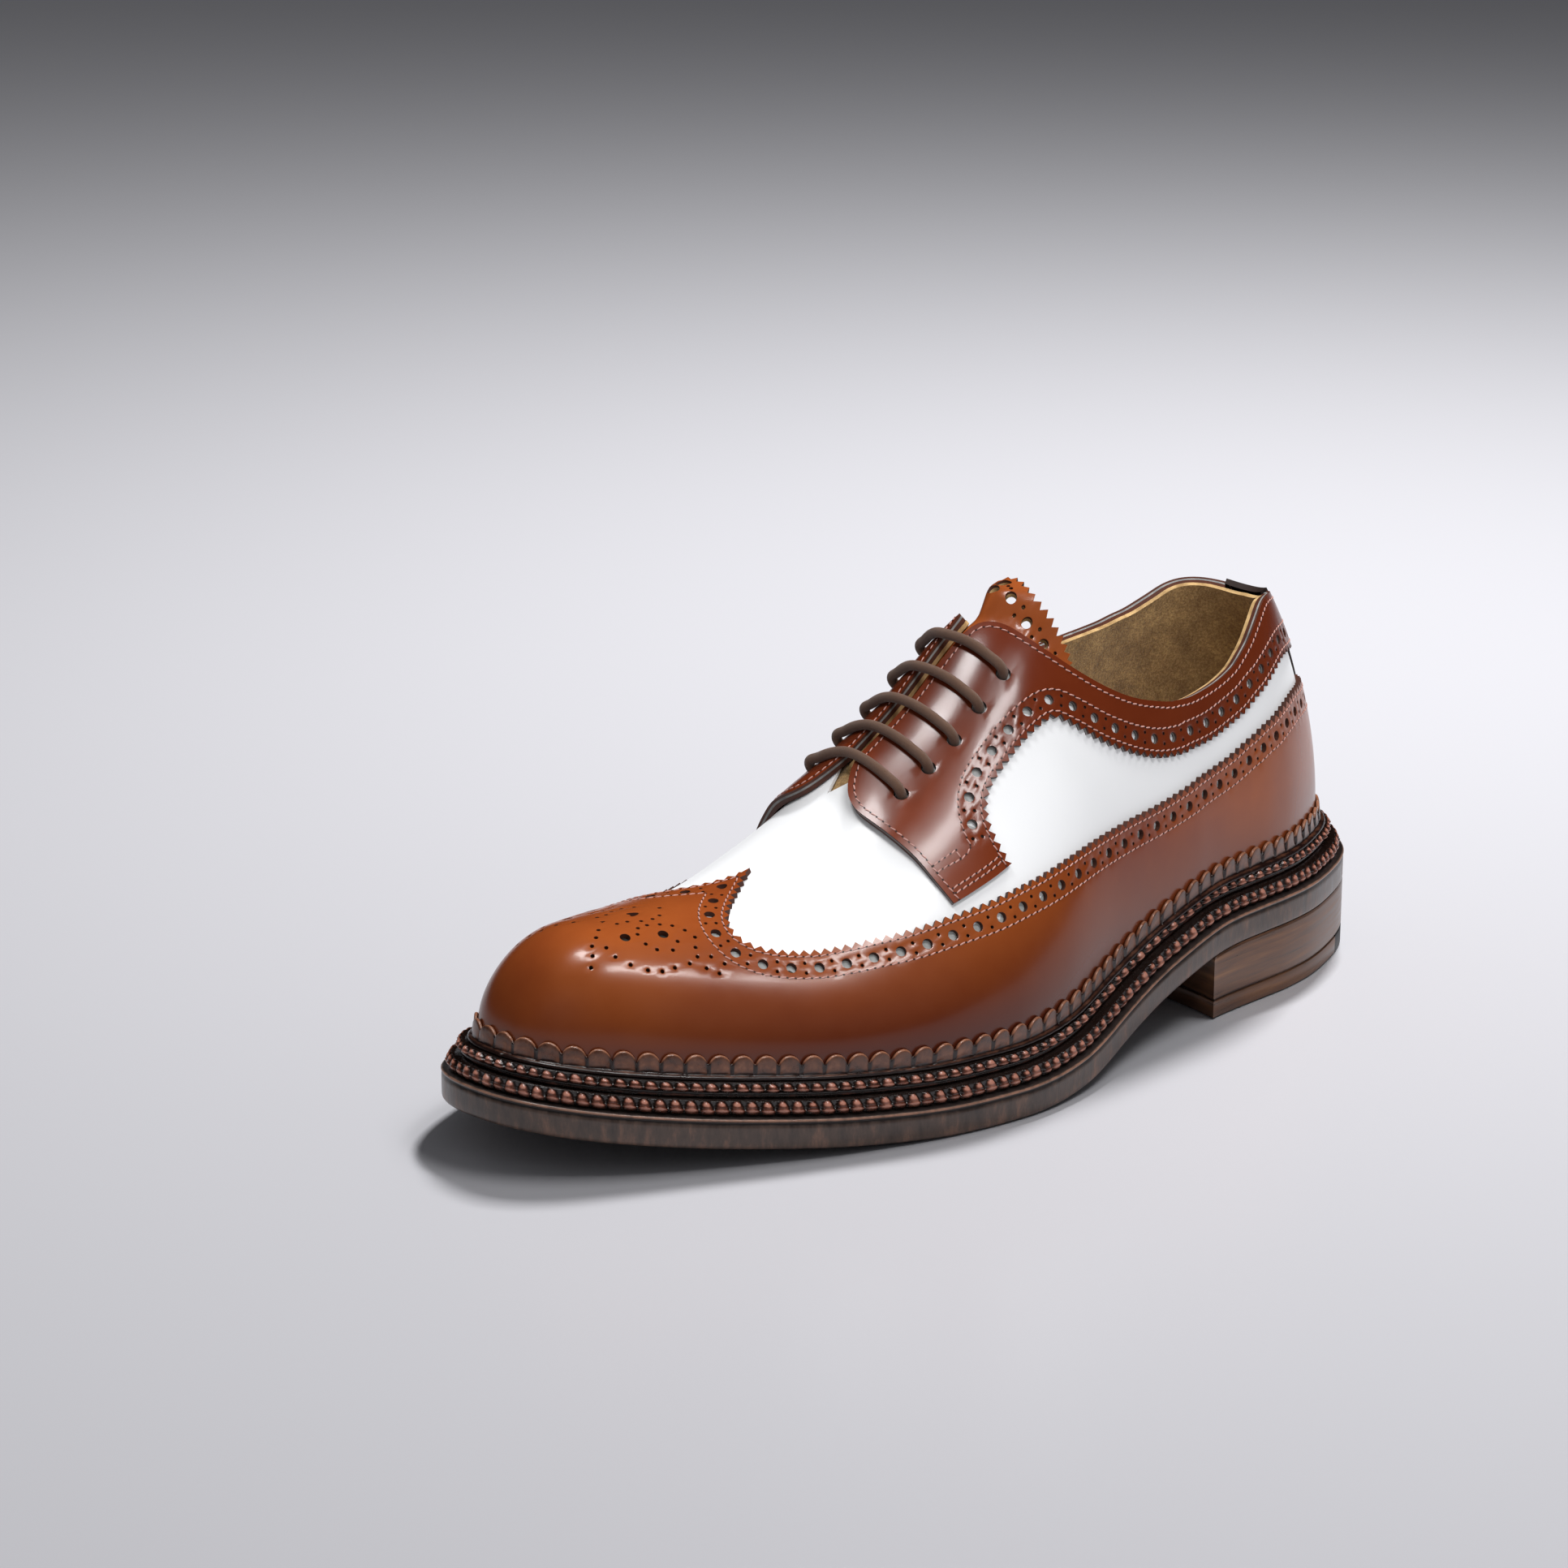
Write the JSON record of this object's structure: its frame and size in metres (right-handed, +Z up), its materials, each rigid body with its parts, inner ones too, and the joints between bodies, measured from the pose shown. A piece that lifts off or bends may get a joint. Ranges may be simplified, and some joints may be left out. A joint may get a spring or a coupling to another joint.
{
  "type": "spectator shoe",
  "caption": "Left two-tone long-wing derby shoe with a closed lacing front, storm welt, beaded welts, leather sole and stacked heel.",
  "frame": {"origin": "middle of the heel's tread on the floor", "axes": "+X to the toe, +Y to the wearer's left, which is the outer side of this left shoe, +Z up from the floor"},
  "size_m": [0.3, 0.1183, 0.1225],
  "materials": {
    "white_leather": "smooth polished",
    "brown_leather": "burnished gloss",
    "lining_leather": "matt suede",
    "outsole_leather": "stained edge",
    "welt_leather": "waxed",
    "heel_rubber": "matt",
    "lace_cotton": "waxed woven"
  },
  "bodies": {
    "root": {"outsole": "outsole_leather", "welt_lower": "welt_leather", "welt_upper": "welt_leather", "welt_storm": "welt_leather", "heel_stack": "outsole_leather", "heel_top_piece": "outsole_leather", "heel_rubber_quarter": "heel_rubber", "insole": "lining_leather", "upper": "white_leather", "wing_cap": "brown_leather", "facing_outer": "brown_leather", "facing_inner": "brown_leather", "back_strip": "brown_leather", "tongue": "brown_leather", "lace_bar_1": "lace_cotton", "lace_bar_2": "lace_cotton", "lace_bar_3": "lace_cotton", "lace_bar_4": "lace_cotton", "lace_bar_5": "lace_cotton"}
  },
  "joints": []
}
